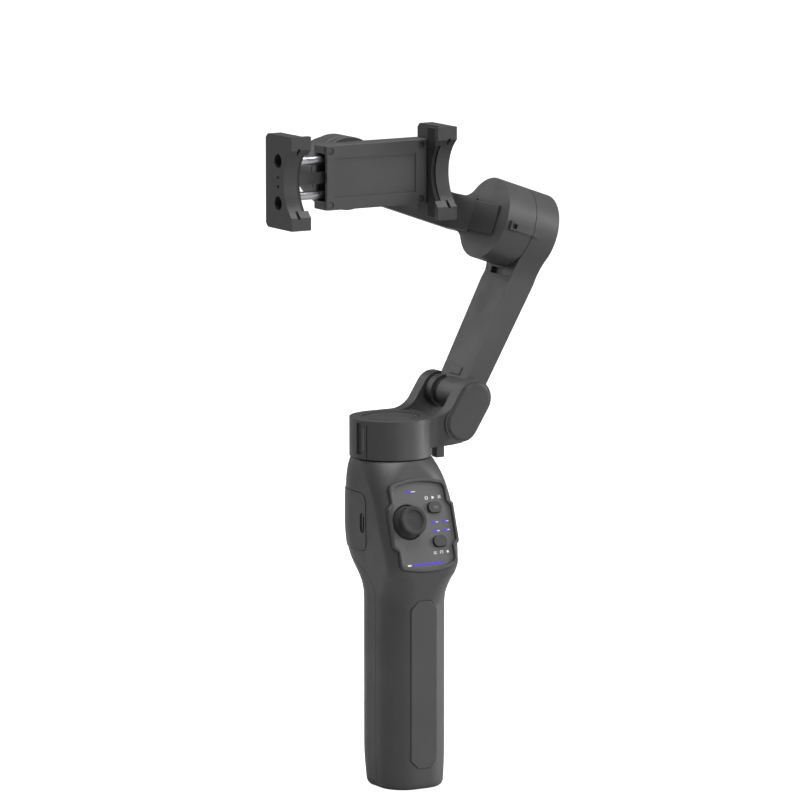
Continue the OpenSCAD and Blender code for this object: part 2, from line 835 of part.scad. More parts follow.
module clamp_body() {
    color(shell_grey) difference() {
        translate([body_left, phone_back + 1.8, roll_z - body_h / 2])
            cube([jaw_right - body_left + 2, jaw_back - phone_back - 1.8, body_h]);
        // bay of the rods and the spring
        translate([body_left - 1, phone_back + 1, roll_z - 11])
            cube([jaw_right - body_left - 4, 8.4, 22]);
    }
}

module clamp_cover() {
    color(part_grey) difference() {
        translate([body_left + 0.2, phone_back, roll_z - body_h / 2 + 0.2])
            cube([jaw_right - body_left - 0.4, 1.75, body_h - 0.4]);
        translate([body_left + 4, phone_back - 1, roll_z - 9]) cube([jaw_right - body_left - 10, 1.5, 18]);
        for (x = [body_left + 2.2, jaw_right - 3]) for (s = [-1, 1]) {
            translate([x, phone_back + 1, roll_z + s * 12.4]) rotate([90, 0, 0])
                cylinder(h = 3, r = 1.6, center = true);
        }
    }
}

module clamp_screws() {
    color(steel) for (x = [body_left + 2.2, jaw_right - 3]) for (s = [-1, 1]) {
        translate([x, phone_back + 0.9, roll_z + s * 12.4]) rotate([90, 0, 0])
            cylinder(h = 0.6, r = 1.5);
    }
}

// side view of a jaw, y across and z up: a block with its front edge scooped out
module jaw_side(inset = 0) {
    scoop = 7.4;
    span = jaw_h - 12;
    r = (scoop * scoop + span * span / 4) / (2 * scoop);
    difference() {
        translate([jaw_front, -jaw_h / 2 + inset]) square([jaw_d, jaw_h - 2 * inset]);
        translate([jaw_front + scoop - r, 0]) circle(r + inset, $fn = 96);
        for (s = [-1, 1]) translate([jaw_back, s * jaw_h / 2]) rotate(45) square(2.6, center = true);
    }
}

// side is -1 for the left jaw and 1 for the right one; its pad face is at x
module jaw(x, side) {
    translate([x, 0, roll_z]) difference() {
        union() {
            translate([side > 0 ? 2 : -jaw_t, 0, 0]) rotate([90, 0, 90])
                linear_extrude(jaw_t - 2) jaw_side();
            // fingers that close over the phone's face
            intersection() {
                translate([side > 0 ? -lip_over : -jaw_t, 0, 0]) rotate([90, 0, 90])
                    linear_extrude(jaw_t + lip_over) jaw_side();
                translate([-cut / 2, jaw_front - 1, -cut / 2]) cube([cut, finger_t + 1, cut]);
            }
        }
        for (s = [-1, 1]) {
            translate([side * 5, jaw_front + 3, s * 14]) rotate([90, 0, 0]) linear_extrude(6)
                hull() for (e = [-1.5, 1.5]) translate([0, e]) circle(0.7, $fn = 24);
        }
        children();
    }
}

// rubber liner between the fingers and the clamp's back
module jaw_pad(x, side) {
    color(dark) translate([x, 0, roll_z]) intersection() {
        translate([side > 0 ? 0 : -2, 0, 0]) rotate([90, 0, 90]) linear_extrude(2) jaw_side(0.8);
        translate([-cut / 2, jaw_front + finger_t, -cut / 2])
            cube([cut, phone_back - 0.2 - jaw_front - finger_t, cut]);
    }
}

module fixed_jaw() {
    color(part_grey) jaw(jaw_right, 1);
}

module fixed_jaw_pad() {
    jaw_pad(jaw_right, 1);
}

module sliding_jaw() {
    color(part_grey) {
        jaw(jaw_left, -1) {
            // two accessory sockets and two contact holes in the outer face
            for (s = [-1, 1]) {
                translate([-jaw_t - 1, jaw_front + jaw_d / 2 + 0.6, s * 9.7]) rotate([0, 90, 0])
                    cylinder(h = 5, r = 3.2);
                translate([-jaw_t - 1, jaw_front + jaw_d / 2 + 0.6, s * 2.1]) rotate([0, 90, 0])
                    cylinder(h = 2.6, r = 0.8, $fn = 24);
            }
            for (s = [-1, 1]) translate([-4, 20.8, s * rod_z]) rotate([0, 90, 0]) cylinder(h = 8, r = rod_r);
        }
        // tongue between the rods, which the spring hooks on
        translate([jaw_left - 2.1, 18.6, roll_z - 2.6]) cube([21, 3.4, 5.2]);
    }
}

module sliding_jaw_pad() {
    jaw_pad(jaw_left, -1);
}

module guide_rods() {
    color(steel) for (s = [-1, 1]) translate([jaw_left - 3.9, 20.8, roll_z + s * rod_z])
        rotate([0, 90, 0]) cylinder(h = 51, r = rod_r);
}

// stretched coil between the tongue and the fixed jaw's end of the bay
module clamp_spring() {
    from = jaw_left + 19.2;
    turns = 17;
    pitch = (jaw_right - 5.4 - from) / turns;
    color(steel) for (i = [0:turns - 1]) translate([from + pitch * (i + 0.5), 20.3, roll_z])
        rotate([0, 90, 0]) rotate_extrude($fn = 24) translate([2, 0]) circle(0.35, $fn = 16);
}

front_shell();
rear_grip_shell();
rear_cover();
panel_bezel();
control_panel();
grip_pad();
tripod_insert();
status_lights();
mode_key();
record_key();
joystick_base();
joystick_yoke();
joystick_cap();
usb_socket();
battery();
battery_cradle();
main_board();
shell_screws();
pan_stator();
pan_bearings();
pan_shaft();
pan_rotor();
yaw_arm();
yaw_top_plate();
near_hinge_cap();
far_hinge_cap();
fold_pin();
pan_stop();
fold_arm();
arm_end_cover();
arm_bumper();
tilt_stator();
tilt_bearing();
tilt_shaft();
tilt_bell();
tilt_rotor();
tilt_bracket();
cable_cover();
storage_lock();
roll_stator();
roll_motor_cap();
roll_bearings();
roll_shaft();
roll_rotor();
clamp_body();
clamp_cover();
clamp_screws();
fixed_jaw();
fixed_jaw_pad();
sliding_jaw();
sliding_jaw_pad();
guide_rods();
clamp_spring();
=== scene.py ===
"""Looks of the folding three-axis phone gimbal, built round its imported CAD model.

Metres, +Z up, -Y towards the user. Tables of shapes are in millimetres.
"""

import json
import math

import bmesh
import bpy
from mathutils import Matrix, Vector

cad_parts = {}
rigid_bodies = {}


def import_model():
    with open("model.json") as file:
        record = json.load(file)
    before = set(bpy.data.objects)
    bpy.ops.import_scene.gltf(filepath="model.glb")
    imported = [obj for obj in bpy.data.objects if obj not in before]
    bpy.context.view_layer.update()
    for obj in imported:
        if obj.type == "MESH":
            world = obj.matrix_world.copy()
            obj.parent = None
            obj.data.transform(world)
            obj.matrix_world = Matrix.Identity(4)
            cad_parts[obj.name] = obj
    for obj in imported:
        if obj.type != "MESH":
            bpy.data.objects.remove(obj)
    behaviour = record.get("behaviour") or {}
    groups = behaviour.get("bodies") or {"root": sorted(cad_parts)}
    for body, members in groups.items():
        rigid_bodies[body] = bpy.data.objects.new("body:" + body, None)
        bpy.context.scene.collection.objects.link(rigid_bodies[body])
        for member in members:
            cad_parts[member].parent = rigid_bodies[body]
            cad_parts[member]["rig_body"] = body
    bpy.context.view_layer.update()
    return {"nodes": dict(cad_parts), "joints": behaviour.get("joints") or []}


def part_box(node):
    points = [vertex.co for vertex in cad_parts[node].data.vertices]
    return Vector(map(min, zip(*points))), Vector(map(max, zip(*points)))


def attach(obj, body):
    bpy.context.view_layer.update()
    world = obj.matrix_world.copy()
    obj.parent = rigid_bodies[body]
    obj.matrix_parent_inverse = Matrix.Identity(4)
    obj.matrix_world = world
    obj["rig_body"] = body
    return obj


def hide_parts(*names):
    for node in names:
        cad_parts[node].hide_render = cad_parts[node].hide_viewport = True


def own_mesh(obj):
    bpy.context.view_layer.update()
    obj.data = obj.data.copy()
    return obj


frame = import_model()
nodes = frame["nodes"]
scene = bpy.context.scene
MM = 0.001

# ---------- frame, read from the joints ----------

joint_at = {j["name"]: Vector(j["pos_m"]) for j in frame["joints"] if "pos_m" in j}
PAN = joint_at["pan"]
TILT = joint_at["tilt"]
TILT_AXIS = next(Vector(j["axis"]) for j in frame["joints"] if j["name"] == "tilt")
ARM_LEAN = math.atan2(TILT_AXIS.z, -TILT_AXIS.x)
PANEL_LEAN = math.radians(17.8)
PANEL_ORIGIN = Vector((0, -16.7, 124)) * MM
PANEL = Matrix.Translation(PANEL_ORIGIN) @ Matrix.Rotation(math.pi / 2 - PANEL_LEAN, 4, "X")
# origin on the tilt motor's axis, x outwards along it
ARM = Matrix.Translation(TILT) @ Matrix.Rotation(ARM_LEAN, 4, "Y")
STICK_PIVOT = (-7.4, 2.1, -4)
MODE_KEY_AT = (7.6, 7.6, 0)
STICK = PANEL @ Matrix.Translation(Vector(STICK_PIVOT) * MM)
MODE_KEY = PANEL @ Matrix.Translation(Vector(MODE_KEY_AT) * MM)

# ---------- materials ----------


def node_tree(name):
    material = bpy.data.materials.new(name)
    material.use_nodes = True
    tree = material.node_tree
    shader = next(n for n in tree.nodes if n.type == "BSDF_PRINCIPLED")
    return material, tree, shader


def noise(tree, scale, detail=3, roughness=0.55):
    coords = tree.nodes.new("ShaderNodeTexCoord")
    texture = tree.nodes.new("ShaderNodeTexNoise")
    texture.inputs["Scale"].default_value = scale
    texture.inputs["Detail"].default_value = detail
    texture.inputs["Roughness"].default_value = roughness
    tree.links.new(coords.outputs["Object"], texture.inputs["Vector"])
    return texture


def spread(tree, source, low, high, low_in=0.3, high_in=0.7):
    """Maps a texture's middle range to low..high."""
    mapped = tree.nodes.new("ShaderNodeMapRange")
    mapped.inputs["From Min"].default_value = low_in
    mapped.inputs["From Max"].default_value = high_in
    mapped.inputs["To Min"].default_value = low
    mapped.inputs["To Max"].default_value = high
    tree.links.new(source, mapped.inputs["Value"])
    return mapped.outputs["Result"]


def tint(tree, amount, dark, light):
    """Blends two colours by amount."""
    mix = tree.nodes.new("ShaderNodeMix")
    mix.data_type = "RGBA"
    mix.inputs["A"].default_value = (*dark, 1)
    mix.inputs["B"].default_value = (*light, 1)
    tree.links.new(amount, mix.inputs["Factor"])
    return mix.outputs["Result"]


def bump(tree, shader, height, strength, distance):
    node = tree.nodes.new("ShaderNodeBump")
    node.inputs["Strength"].default_value = strength
    node.inputs["Distance"].default_value = distance
    tree.links.new(height, node.inputs["Height"])
    tree.links.new(node.outputs["Normal"], shader.inputs["Normal"])


def grey(value, blue=0.02):
    return (value, value, value * (1 + blue))


def moulded_plastic(name, value, roughness, grain=0.25, grain_size=0.35, sheen=0.5, blue=0.03):
    """Satin plastic: spark-eroded grain, a slow drift of tone, and roughness that varies with handling."""
    material, tree, shader = node_tree(name)
    drift = noise(tree, 38, 2)
    fine = noise(tree, 1000 / grain_size, 2, 0.6)
    smudge = noise(tree, 90, 4)
    tone = spread(tree, drift.outputs["Fac"], 0, 1)
    base = tint(tree, tone, grey(value * 0.93, blue), grey(value * 1.07, blue))
    tree.links.new(base, shader.inputs["Base Color"])
    rough = spread(tree, smudge.outputs["Fac"], roughness - 0.05, roughness + 0.05)
    tree.links.new(rough, shader.inputs["Roughness"])
    shader.inputs["Specular IOR Level"].default_value = sheen
    bump(tree, shader, fine.outputs["Fac"], grain, 0.00005)
    return material


def rubber(name, value):
    material, tree, shader = node_tree(name)
    dust = noise(tree, 260, 4)
    base = tint(tree, spread(tree, dust.outputs["Fac"], 0, 1), grey(value * 0.8), grey(value * 1.3))
    tree.links.new(base, shader.inputs["Base Color"])
    shader.inputs["Roughness"].default_value = 0.78
    shader.inputs["Specular IOR Level"].default_value = 0.35
    bump(tree, shader, noise(tree, 2200, 2).outputs["Fac"], 0.4, 0.00006)
    return material


def metal(name, colour, roughness, scratch=(60, 60, 2400)):
    """Turned or drawn metal with fine tool marks along one direction."""
    material, tree, shader = node_tree(name)
    coords = tree.nodes.new("ShaderNodeTexCoord")
    stretch = tree.nodes.new("ShaderNodeMapping")
    stretch.inputs["Scale"].default_value = scratch
    marks = tree.nodes.new("ShaderNodeTexNoise")
    marks.inputs["Scale"].default_value = 1
    marks.inputs["Detail"].default_value = 3
    tree.links.new(coords.outputs["Object"], stretch.inputs["Vector"])
    tree.links.new(stretch.outputs["Vector"], marks.inputs["Vector"])
    dark = tuple(c * 0.86 for c in colour)
    base = tint(tree, spread(tree, marks.outputs["Fac"], 0, 1), dark, colour)
    tree.links.new(base, shader.inputs["Base Color"])
    rough = spread(tree, marks.outputs["Fac"], roughness - 0.06, roughness + 0.08)
    tree.links.new(rough, shader.inputs["Roughness"])
    shader.inputs["Metallic"].default_value = 1
    bump(tree, shader, marks.outputs["Fac"], 0.04, 0.00003)
    return material


def glow(name, colour, strength):
    material, tree, shader = node_tree(name)
    cloud = noise(tree, 900, 2)
    dark = tuple(c * 0.75 for c in colour)
    lit = tint(tree, spread(tree, cloud.outputs["Fac"], 0, 1), dark, colour)
    tree.links.new(lit, shader.inputs["Base Color"])
    tree.links.new(lit, shader.inputs["Emission Color"])
    shader.inputs["Emission Strength"].default_value = strength
    shader.inputs["Roughness"].default_value = 0.25
    return material


def print_ink(name, value):
    material, tree, shader = node_tree(name)
    speck = noise(tree, 3000, 2)
    base = tint(tree, spread(tree, speck.outputs["Fac"], 0, 1), grey(value * 0.9, 0), grey(value, 0))
    tree.links.new(base, shader.inputs["Base Color"])
    shader.inputs["Roughness"].default_value = 0.6
    return material


SHELL = moulded_plastic("shell_plastic", 0.046, 0.44)
TRIM = moulded_plastic("trim_plastic", 0.043, 0.42, grain=0.18)
ARM_PLASTIC = moulded_plastic("arm_plastic", 0.045, 0.43, grain=0.2)
JAW_PLASTIC = moulded_plastic("jaw_plastic", 0.03, 0.42, grain=0.2)
FACEPLATE = moulded_plastic("faceplate", 0.08, 0.5, grain=0.15, blue=0)
KEY_PLASTIC = moulded_plastic("key_plastic", 0.035, 0.45, grain=0.12)
CAP_DISC = moulded_plastic("cap_plastic", 0.036, 0.4, grain=0.12)
INNER = moulded_plastic("inner_plastic", 0.03, 0.6)
RUBBER = rubber("liner_rubber", 0.02)
STICK_RUBBER = rubber("stick_rubber", 0.03)
STEEL = metal("ground_steel", (0.5, 0.5, 0.52), 0.3, (200, 200, 200))
BLACK_STEEL = metal("blackened_steel", (0.1, 0.1, 0.105), 0.36, (300, 300, 300))
TURNED = metal("turned_steel", (0.46, 0.46, 0.48), 0.34, (80, 80, 500))
BRASS = metal("insert_brass", (0.72, 0.52, 0.24), 0.3)
COPPER = metal("winding_copper", (0.68, 0.3, 0.12), 0.35, (900, 900, 900))
SLEEVE = moulded_plastic("cell_sleeve", 0.06, 0.3, grain=0.05, blue=1.6)
MASK = moulded_plastic("board_mask", 0.03, 0.35, grain=0.3, blue=-0.3)
LIGHT = glow("status_light", (0.07, 0.03, 0.7), 1.0)
INK = print_ink("white_print", 0.8)

# ---------- mesh helpers ----------

CORNER_ANGLE = math.radians(28)  # an edge this steep is a corner to round
SKIN_CREASE = math.radians(32)
DETAIL_CREASE = math.radians(30)


def mesh_from(name, bm):
    mesh = bpy.data.meshes.new(name)
    bm.to_mesh(mesh)
    bm.free()
    return mesh


def add_piece(name, mesh, material, body, replaces=()):
    piece = bpy.data.objects.new(name, mesh)
    scene.collection.objects.link(piece)
    mesh.materials.clear()
    mesh.materials.append(material)
    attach(piece, body)
    if replaces:
        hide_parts(*replaces)
    return piece


def body_of(node):
    return nodes[node]["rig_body"]


def smooth_by_angle(bm, angle):
    """Faces shade smooth, and edges steeper than angle stay crisp."""
    for face in bm.faces:
        face.smooth = True
    for edge in bm.edges:
        if len(edge.link_faces) == 2:
            edge.smooth = edge.calc_face_angle(0) < angle
    bm.normal_update()


def cleaned(node):
    """The node's own surface with its flat faces whole again."""
    bm = bmesh.new()
    bm.from_mesh(nodes[node].data)
    bmesh.ops.remove_doubles(bm, verts=bm.verts, dist=0.002 * MM)
    bmesh.ops.dissolve_degenerate(bm, dist=0.001 * MM, edges=bm.edges)
    bmesh.ops.dissolve_limit(bm, angle_limit=math.radians(0.6), verts=bm.verts, edges=bm.edges)
    return bm


def sharp_edges(bm, angle, where=None):
    found = []
    for edge in bm.edges:
        if len(edge.link_faces) != 2 or edge.calc_face_angle(0) < angle:
            continue
        middle = (edge.verts[0].co + edge.verts[1].co) / 2
        if where is None or where(middle):
            found.append(edge)
    return found


def round_edges(bm, edges, width, segments):
    if edges:
        bmesh.ops.bevel(bm, geom=edges, offset=width * MM, offset_type="OFFSET", segments=segments,
                        profile=0.5, affect="EDGES", clamp_overlap=True, loop_slide=True)


def even_normals(piece):
    """Keeps wide flat faces flat in the shading, beside their rounded corners."""
    weighted = piece.modifiers.new("even_normals", "WEIGHTED_NORMAL")
    weighted.keep_sharp = True


def finished(node, material, width, segments, big=()):
    """A copy of a CAD node with its corners rounded. big holds (where, width, segments) for larger rounds."""
    bm = cleaned(node)
    for where, big_width, big_segments in big:
        round_edges(bm, sharp_edges(bm, CORNER_ANGLE, where), big_width, big_segments)
    if width:
        round_edges(bm, sharp_edges(bm, CORNER_ANGLE), width, segments)
    smooth_by_angle(bm, SKIN_CREASE)
    name = node + "_skin"
    piece = add_piece(name, mesh_from(name, bm), material, body_of(node), (node,))
    even_normals(piece)
    return piece


# ---------- handle ----------

# height, half width, front, back, front corner radius, rear corner radius, in millimetres
LEVELS = [
    (0, 14.75, -16, 14.8, 11.4, 11.5),
    (0.8, 15.45, -17, 15.5, 12, 12),
    (2.4, 16.05, -17.6, 16, 12.6, 12.4),
    (20, 16.75, -18, 18, 13.2, 13.5),
    (56, 16.75, -18, 18, 13.2, 13.5),
    (86, 16.75, -18, 18, 13.2, 13.5),
    (90, 16.75, -18.5, 18.3, 13, 13.6),
    (94, 17.05, -19.7, 19.4, 12.4, 14.1),
    (98, 17.55, -21.4, 22.2, 11.4, 15.2),
    (101.5, 18.05, -22.8, 25.8, 9.4, 16.4),
    (105, 18.65, -22.9, 29.2, 8, 17.8),
    (109, 19.25, -21.6, 31.7, 7.4, 19),
    (114, 19.75, -20, 33.3, 7, 19.6),
    (123.4, 20.15, -17, 34, 7, 20),
    (132, 20.15, -14.2, 33.9, 7.4, 20),
    (141, 19.95, -11.3, 33.4, 10, 19.8),
    (146, 19.55, -9.7, 32.8, 13, 19.4),
    (150, 18.95, -8.1, 31.7, 16, 18.8),
    (152.6, 18.35, -6.8, 30.7, 18.3, 18.3),
]
HEAD_TOP = LEVELS[-1][0]
WALL = 2.2


def monotone(xs, ys, x):
    """Smooth curve through the points that never overshoots them."""
    k = max(0, min(len(xs) - 2, sum(1 for v in xs if v <= x) - 1))
    slopes = [(ys[i + 1] - ys[i]) / (xs[i + 1] - xs[i]) for i in range(len(xs) - 1)]

    def tangent(i):
        if i == 0 or i == len(xs) - 1:
            return slopes[0 if i == 0 else -1]
        a, b = slopes[i - 1], slopes[i]
        if a * b <= 0:
            return 0
        return 2 * a * b / (a + b)

    h = xs[k + 1] - xs[k]
    t = (x - xs[k]) / h
    return (
        (2 * t**3 - 3 * t**2 + 1) * ys[k]
        + (t**3 - 2 * t**2 + t) * h * tangent(k)
        + (3 * t**2 - 2 * t**3) * ys[k + 1]
        + (t**3 - t**2) * h * tangent(k + 1)
    )


def section_points(level, inset, steps):
    """Rounded rectangle of one level, counter-clockwise from the back right."""
    _, half, front, back, front_r, rear_r = level
    half, front, back = half - inset, front + inset, back - inset
    front_r, rear_r = min(max(front_r - inset, 2), half), min(max(rear_r - inset, 2), half)
    corners = [
        (half - rear_r, back - rear_r, rear_r, 0),
        (rear_r - half, back - rear_r, rear_r, 90),
        (front_r - half, front + front_r, front_r, 180),
        (half - front_r, front + front_r, front_r, 270),
    ]
    points = []
    for cx, cy, r, start in corners:
        for i in range(steps + 1):
            a = math.radians(start + 90 * i / steps)
            points.append((cx + r * math.cos(a), cy + r * math.sin(a)))
    return points


def level_at(z):
    heights = [level[0] for level in LEVELS]
    return (z, *[monotone(heights, [level[c] for level in LEVELS], z) for c in range(1, 6)])


def handle_heights(low, high):
    steps = [0, 0.2, 0.5, 0.8, 1.2, 1.8, 2.4, 4, 7, 11, 15, 20, 32, 44, 56, 68, 78]
    steps += [82 + 0.9 * i for i in range(78)]
    steps += [152.1, 152.3, 152.45, 152.55, HEAD_TOP]
    inside = sorted({round(z, 3) for z in steps if low < z < high})
    return [low, *inside, high]


def join_rings(bm, rings):
    """Bridges each ring of vertices to the next with four-sided faces."""
    count = len(rings[0])
    for lower, upper in zip(rings, rings[1:]):
        for i in range(count):
            j = (i + 1) % count
            bm.faces.new((lower[i], lower[j], upper[j], upper[i]))


def handle_form(name, inset=0.0, low=0.0, high=HEAD_TOP, steps=16):
    """Closed solid of the handle, drawn in by inset, with a softened top rim."""
    bm = bmesh.new()
    rings = []
    for z in handle_heights(low, high):
        over = max(0.0, (z - (HEAD_TOP - 0.5)) / 0.5) if high >= HEAD_TOP else 0.0
        soft = 0.5 * (1 - math.sqrt(max(0.0, 1 - over * over)))
        points = section_points(level_at(z), inset + soft, steps)
        rings.append([bm.verts.new((x * MM, y * MM, z * MM)) for x, y in points])
    join_rings(bm, rings)
    bm.faces.new(list(reversed(rings[0])))
    bm.faces.new(rings[-1])
    bmesh.ops.remove_doubles(bm, verts=bm.verts, dist=0.001 * MM)
    bmesh.ops.recalc_face_normals(bm, faces=bm.faces)
    return scratch(name, bm)


def scratch(name, bm):
    return scratch_solid(name, mesh_from(name, bm))


def scratch_solid(name, mesh):
    solid = bpy.data.objects.new(name, mesh)
    scene.collection.objects.link(solid)
    return solid


def add_prism(bm, outline, depth):
    """Adds an outline in millimetres, extruded from z = depth[0] to depth[1], to bm."""
    low = [bm.verts.new((x * MM, y * MM, depth[0] * MM)) for x, y in outline]
    high = [bm.verts.new((x * MM, y * MM, depth[1] * MM)) for x, y in outline]
    bm.faces.new(list(reversed(low)))
    bm.faces.new(high)
    join_rings(bm, [low, high])


def prism(name, outline, depth, matrix):
    """A helper solid: an outline extruded in its own frame, then placed by matrix."""
    bm = bmesh.new()
    add_prism(bm, outline, depth)
    bmesh.ops.recalc_face_normals(bm, faces=bm.faces)
    bm.transform(matrix)
    return scratch(name, bm)


def disc(u, v, r, sides=24):
    return [(u + r * math.cos(2 * math.pi * i / sides), v + r * math.sin(2 * math.pi * i / sides))
            for i in range(sides)]


def round_prism(name, radius, depth, matrix):
    return prism(name, disc(0, 0, radius, 48), depth, matrix)


def combine(base, *steps):
    """Applies boolean steps to base, each ("DIFFERENCE" or "INTERSECT", solid), and returns its mesh."""
    for kind, tool in steps:
        modifier = base.modifiers.new(kind.lower(), "BOOLEAN")
        modifier.operation = kind
        modifier.solver = "EXACT"
        modifier.object = tool
    bpy.context.view_layer.update()
    evaluated = base.evaluated_get(bpy.context.evaluated_depsgraph_get())
    mesh = bpy.data.meshes.new_from_object(evaluated)
    base.modifiers.clear()
    return mesh


def discard(*solids):
    for solid in solids:
        mesh = solid.data
        bpy.data.objects.remove(solid)
        bpy.data.meshes.remove(mesh)


ACROSS = Matrix(((0, 0, 1, 0), (1, 0, 0, 0), (0, 1, 0, 0), (0, 0, 0, 1)))  # outline x, y become row y, z


def rounded_rectangle(y0, z0, y1, z1, r, steps=8):
    corners = [(y1 - r, z1 - r, 0), (y0 + r, z1 - r, 90), (y0 + r, z0 + r, 180), (y1 - r, z0 + r, 270)]
    points = []
    for cy, cz, start in corners:
        for i in range(steps + 1):
            a = math.radians(start + 90 * i / steps)
            points.append((cy + r * math.cos(a), cz + r * math.sin(a)))
    return points


# parting line between the grip's front and rear shells
PARTING_Y = -2.6
PARTING_START = 88
PARTING_RISE = 22
PARTING_END = 40
GRIP_FLOOR = 2.4


def rear_shell_outline(gap=0.0):
    """Side view of the rear grip shell: straight up the grip, then a quarter ellipse back to the neck."""
    arc = []
    steps = 24
    for i in range(steps + 1):
        a = math.radians(90 * i / steps)
        y = PARTING_END - (PARTING_END - PARTING_Y - gap) * math.cos(a)
        arc.append((y, PARTING_START + (PARTING_RISE - gap) * math.sin(a)))
    return [(PARTING_Y + gap, GRIP_FLOOR + gap), (PARTING_END, GRIP_FLOOR + gap), *reversed(arc)]


def panel_outline(inset=0.0):
    """The control panel's edge: bowed top and bottom, and a step out to wider sides."""
    top, half, narrow, mid = 21.75 - inset, 17.5 - inset, 15.3 - inset, 9 - 0.6 * inset
    step, bow = 2.2, 2.0
    arc = [(t / 8 * (narrow - 1), top - bow * (t / 8) ** 2) for t in range(-8, 9)]
    low = top - bow - 2
    left = [(-narrow, low), (-narrow, mid + step), (-half, mid), (-half, -mid), (-narrow, -mid - step),
            (-narrow, -low)]
    right = [(narrow, -low), (narrow, -mid - step), (half, -mid), (half, mid), (narrow, mid + step),
             (narrow, low)]
    return [(-u, v) for u, v in arc] + left + [(u, -v) for u, v in arc] + right


def pad_outline(grow=0.0):
    w, low, high, c = 6.95 + grow, 10 - grow, 89 + grow, 4
    return [(c - w, low), (w - c, low), (w, low + c), (w, high - c),
            (w - c, high), (c - w, high), (-w, high - c), (-w, low + c)]


def shell_piece(name, mesh, material, node):
    bm = bmesh.new()
    bm.from_mesh(mesh)
    bmesh.ops.remove_doubles(bm, verts=bm.verts, dist=0.004 * MM)
    bmesh.ops.dissolve_degenerate(bm, dist=0.002 * MM, edges=bm.edges)
    smooth_by_angle(bm, DETAIL_CREASE)
    bm.to_mesh(mesh)
    bm.free()
    even_normals(add_piece(name, mesh, material, "handle", (node,)))


UPRIGHT = Matrix.Rotation(math.pi / 2, 4, "X")  # outline x, y become row x, z, and depth runs towards -Y


THROUGH = (-60, 60)  # past both sides of the handle
# low y, low z, high y, high z and corner radius of the rear cover's window, then of the cover in it
COVER_WINDOW = (0.6, 110.4, 60, 137.8, 5)
COVER_OUTLINE = (0.82, 110.62, 60, 137.58, 4.8)
COVER_FROM = 100
PORT_HALF_WIDTH, PORT_HALF_HEIGHT, PORT_CORNER = 1.9, 4.75, 1.85
STICK_WELL_RADIUS = 8.9
INSERT_BORE = 5.05
PAD_SEAT_FLOOR = 16.7


def make_handle_shells():
    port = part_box("usb_socket")
    port_mid = (port[0] + port[1]) / 2
    port_y, port_z = port_mid.y / MM, port_mid.z / MM
    outer = handle_form("outer")
    hollow = handle_form("hollow", WALL, GRIP_FLOOR, 150, 10)
    zone = prism("zone", rear_shell_outline(), THROUGH, ACROSS)
    zone_inner = prism("zone_inner", rear_shell_outline(0.22), THROUGH, ACROSS)
    cover_zone = prism("cover_zone", rounded_rectangle(*COVER_WINDOW), THROUGH, ACROSS)
    cover_inner = prism("cover_inner", rounded_rectangle(*COVER_OUTLINE), THROUGH, ACROSS)
    under_cover = handle_form("under_cover", 1.4, COVER_FROM, HEAD_TOP, 12)
    cover_back = handle_form("cover_back", 1.3, COVER_FROM, HEAD_TOP, 12)
    proud = handle_form("proud", -0.25, COVER_FROM, HEAD_TOP)
    seat = prism("seat", panel_outline(-0.12), (-1.5, 20), PANEL)
    opening = prism("opening", panel_outline(2.6), (-5, 20), PANEL)
    stick_well = round_prism("stick_well", STICK_WELL_RADIUS, (-12, 20), STICK)
    pad_seat = prism("pad_seat", pad_outline(0.12), (PAD_SEAT_FLOOR, 30), UPRIGHT)
    port_outline = rounded_rectangle(port_y - PORT_HALF_WIDTH, port_z - PORT_HALF_HEIGHT,
                                     port_y + PORT_HALF_WIDTH, port_z + PORT_HALF_HEIGHT, PORT_CORNER)
    port_cut = prism("port_cut", port_outline, (-30, -13), ACROSS)
    insert_hole = round_prism("insert_hole", INSERT_BORE, (-5, 6), Matrix.Identity(4))

    cover_gap = scratch_solid("cover_gap", combine(cover_zone, ("DIFFERENCE", under_cover)))
    front = combine(outer, ("DIFFERENCE", hollow), ("DIFFERENCE", zone), ("DIFFERENCE", cover_gap),
                    ("DIFFERENCE", opening), ("DIFFERENCE", seat), ("DIFFERENCE", stick_well),
                    ("DIFFERENCE", pad_seat), ("DIFFERENCE", port_cut), ("DIFFERENCE", insert_hole))
    rear = combine(outer, ("INTERSECT", zone_inner), ("DIFFERENCE", hollow), *screw_holes())
    cover = combine(proud, ("INTERSECT", cover_inner), ("DIFFERENCE", cover_back), ("DIFFERENCE", port_cut))
    shell_piece("front_shell_skin", front, SHELL, "front_shell")
    shell_piece("rear_grip_shell_skin", rear, SHELL, "rear_grip_shell")
    shell_piece("rear_cover_skin", cover, SHELL, "rear_cover")
    discard(outer, hollow, zone, zone_inner, cover_zone, cover_inner, under_cover, cover_back, proud,
            seat, opening, stick_well, pad_seat, port_cut, insert_hole, cover_gap, *SCREW_TOOLS)


SCREW_TOOLS = []
SCREW_X, SCREW_HEIGHTS = 9.5, (9, 89)
SCREW_SPOTS = [(side * SCREW_X, z) for z in SCREW_HEIGHTS for side in (-1, 1)]
SCREW_BORE, SCREW_SEAT = 2.2, -12.5


def screw_holes():
    steps = []
    for x, z in SCREW_SPOTS:
        place = Matrix.Translation(Vector((x, 0, z)) * MM) @ UPRIGHT
        tool = round_prism("screw_hole", SCREW_BORE, (-40, SCREW_SEAT), place)
        SCREW_TOOLS.append(tool)
        steps.append(("DIFFERENCE", tool))
    return steps


make_handle_shells()

# ---------- every other node, its corners rounded ----------

TO_ARM = ARM.inverted()
HOUSING_TOP = 171 * MM
HOUSING_RADIUS = 19.2 * MM


def on_housing_rim(point):
    """Upper rim of the pan motor's housing, left of the waist."""
    reach = math.hypot(point.x - PAN.x, point.y - PAN.y)
    return abs(point.z - HOUSING_TOP) < 0.05 * MM and abs(reach - HOUSING_RADIUS) < 0.1 * MM


